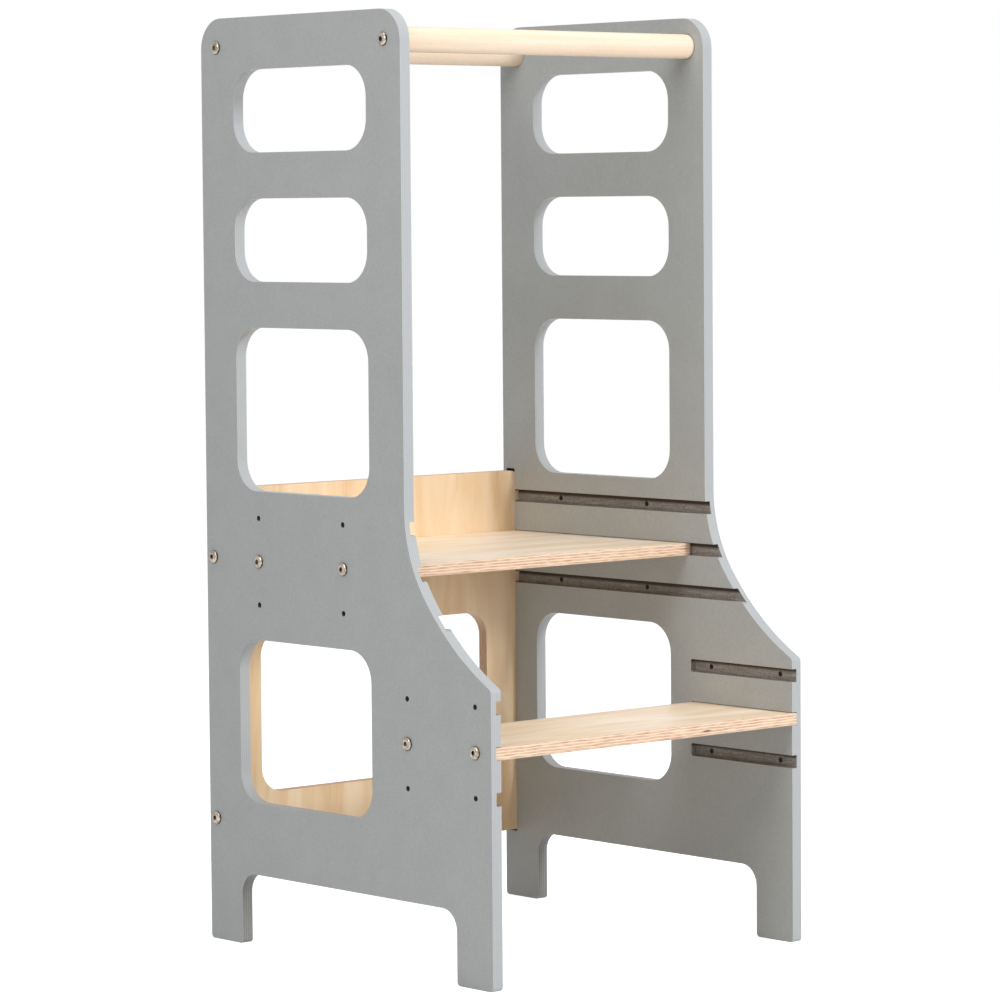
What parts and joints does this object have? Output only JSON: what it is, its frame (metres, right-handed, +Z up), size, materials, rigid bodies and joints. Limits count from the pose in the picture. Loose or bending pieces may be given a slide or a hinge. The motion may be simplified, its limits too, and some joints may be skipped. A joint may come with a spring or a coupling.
{
  "type": "toddler kitchen helper stool",
  "caption": "Tall standing tower for a toddler: painted side panels with rounded windows, housed wooden platform and step at changeable heights, back panel and two rails.",
  "frame": {"origin": "on the floor, midway between the side panels and midway along their feet", "axes": "X across the stool from its left side to its right side, -Y the open front where the step is, +Z up"},
  "size_m": [0.406, 0.42, 0.9],
  "materials": {
    "painted_board": "grey satin paint",
    "birch_ply": "clear satin lacquer",
    "pale_beech": "clear satin lacquer",
    "nickel_screw": "nickel plated"
  },
  "bodies": {
    "root": {"left_side_panel": "painted_board", "right_side_panel": "painted_board", "back_panel": "birch_ply", "standing_platform": "birch_ply", "lower_step": "birch_ply", "front_rail": "pale_beech", "rear_rail": "pale_beech", "screw_left_front_rail": "nickel_screw", "screw_left_rear_rail": "nickel_screw", "screw_left_back_panel_lower": "nickel_screw", "screw_left_back_panel_upper": "nickel_screw", "screw_left_platform_front": "nickel_screw", "screw_left_platform_rear": "nickel_screw", "screw_left_step_front": "nickel_screw", "screw_left_step_rear": "nickel_screw", "screw_right_front_rail": "nickel_screw", "screw_right_rear_rail": "nickel_screw", "screw_right_back_panel_lower": "nickel_screw", "screw_right_back_panel_upper": "nickel_screw", "screw_right_platform_front": "nickel_screw", "screw_right_platform_rear": "nickel_screw", "screw_right_step_front": "nickel_screw", "screw_right_step_rear": "nickel_screw"}
  },
  "joints": []
}
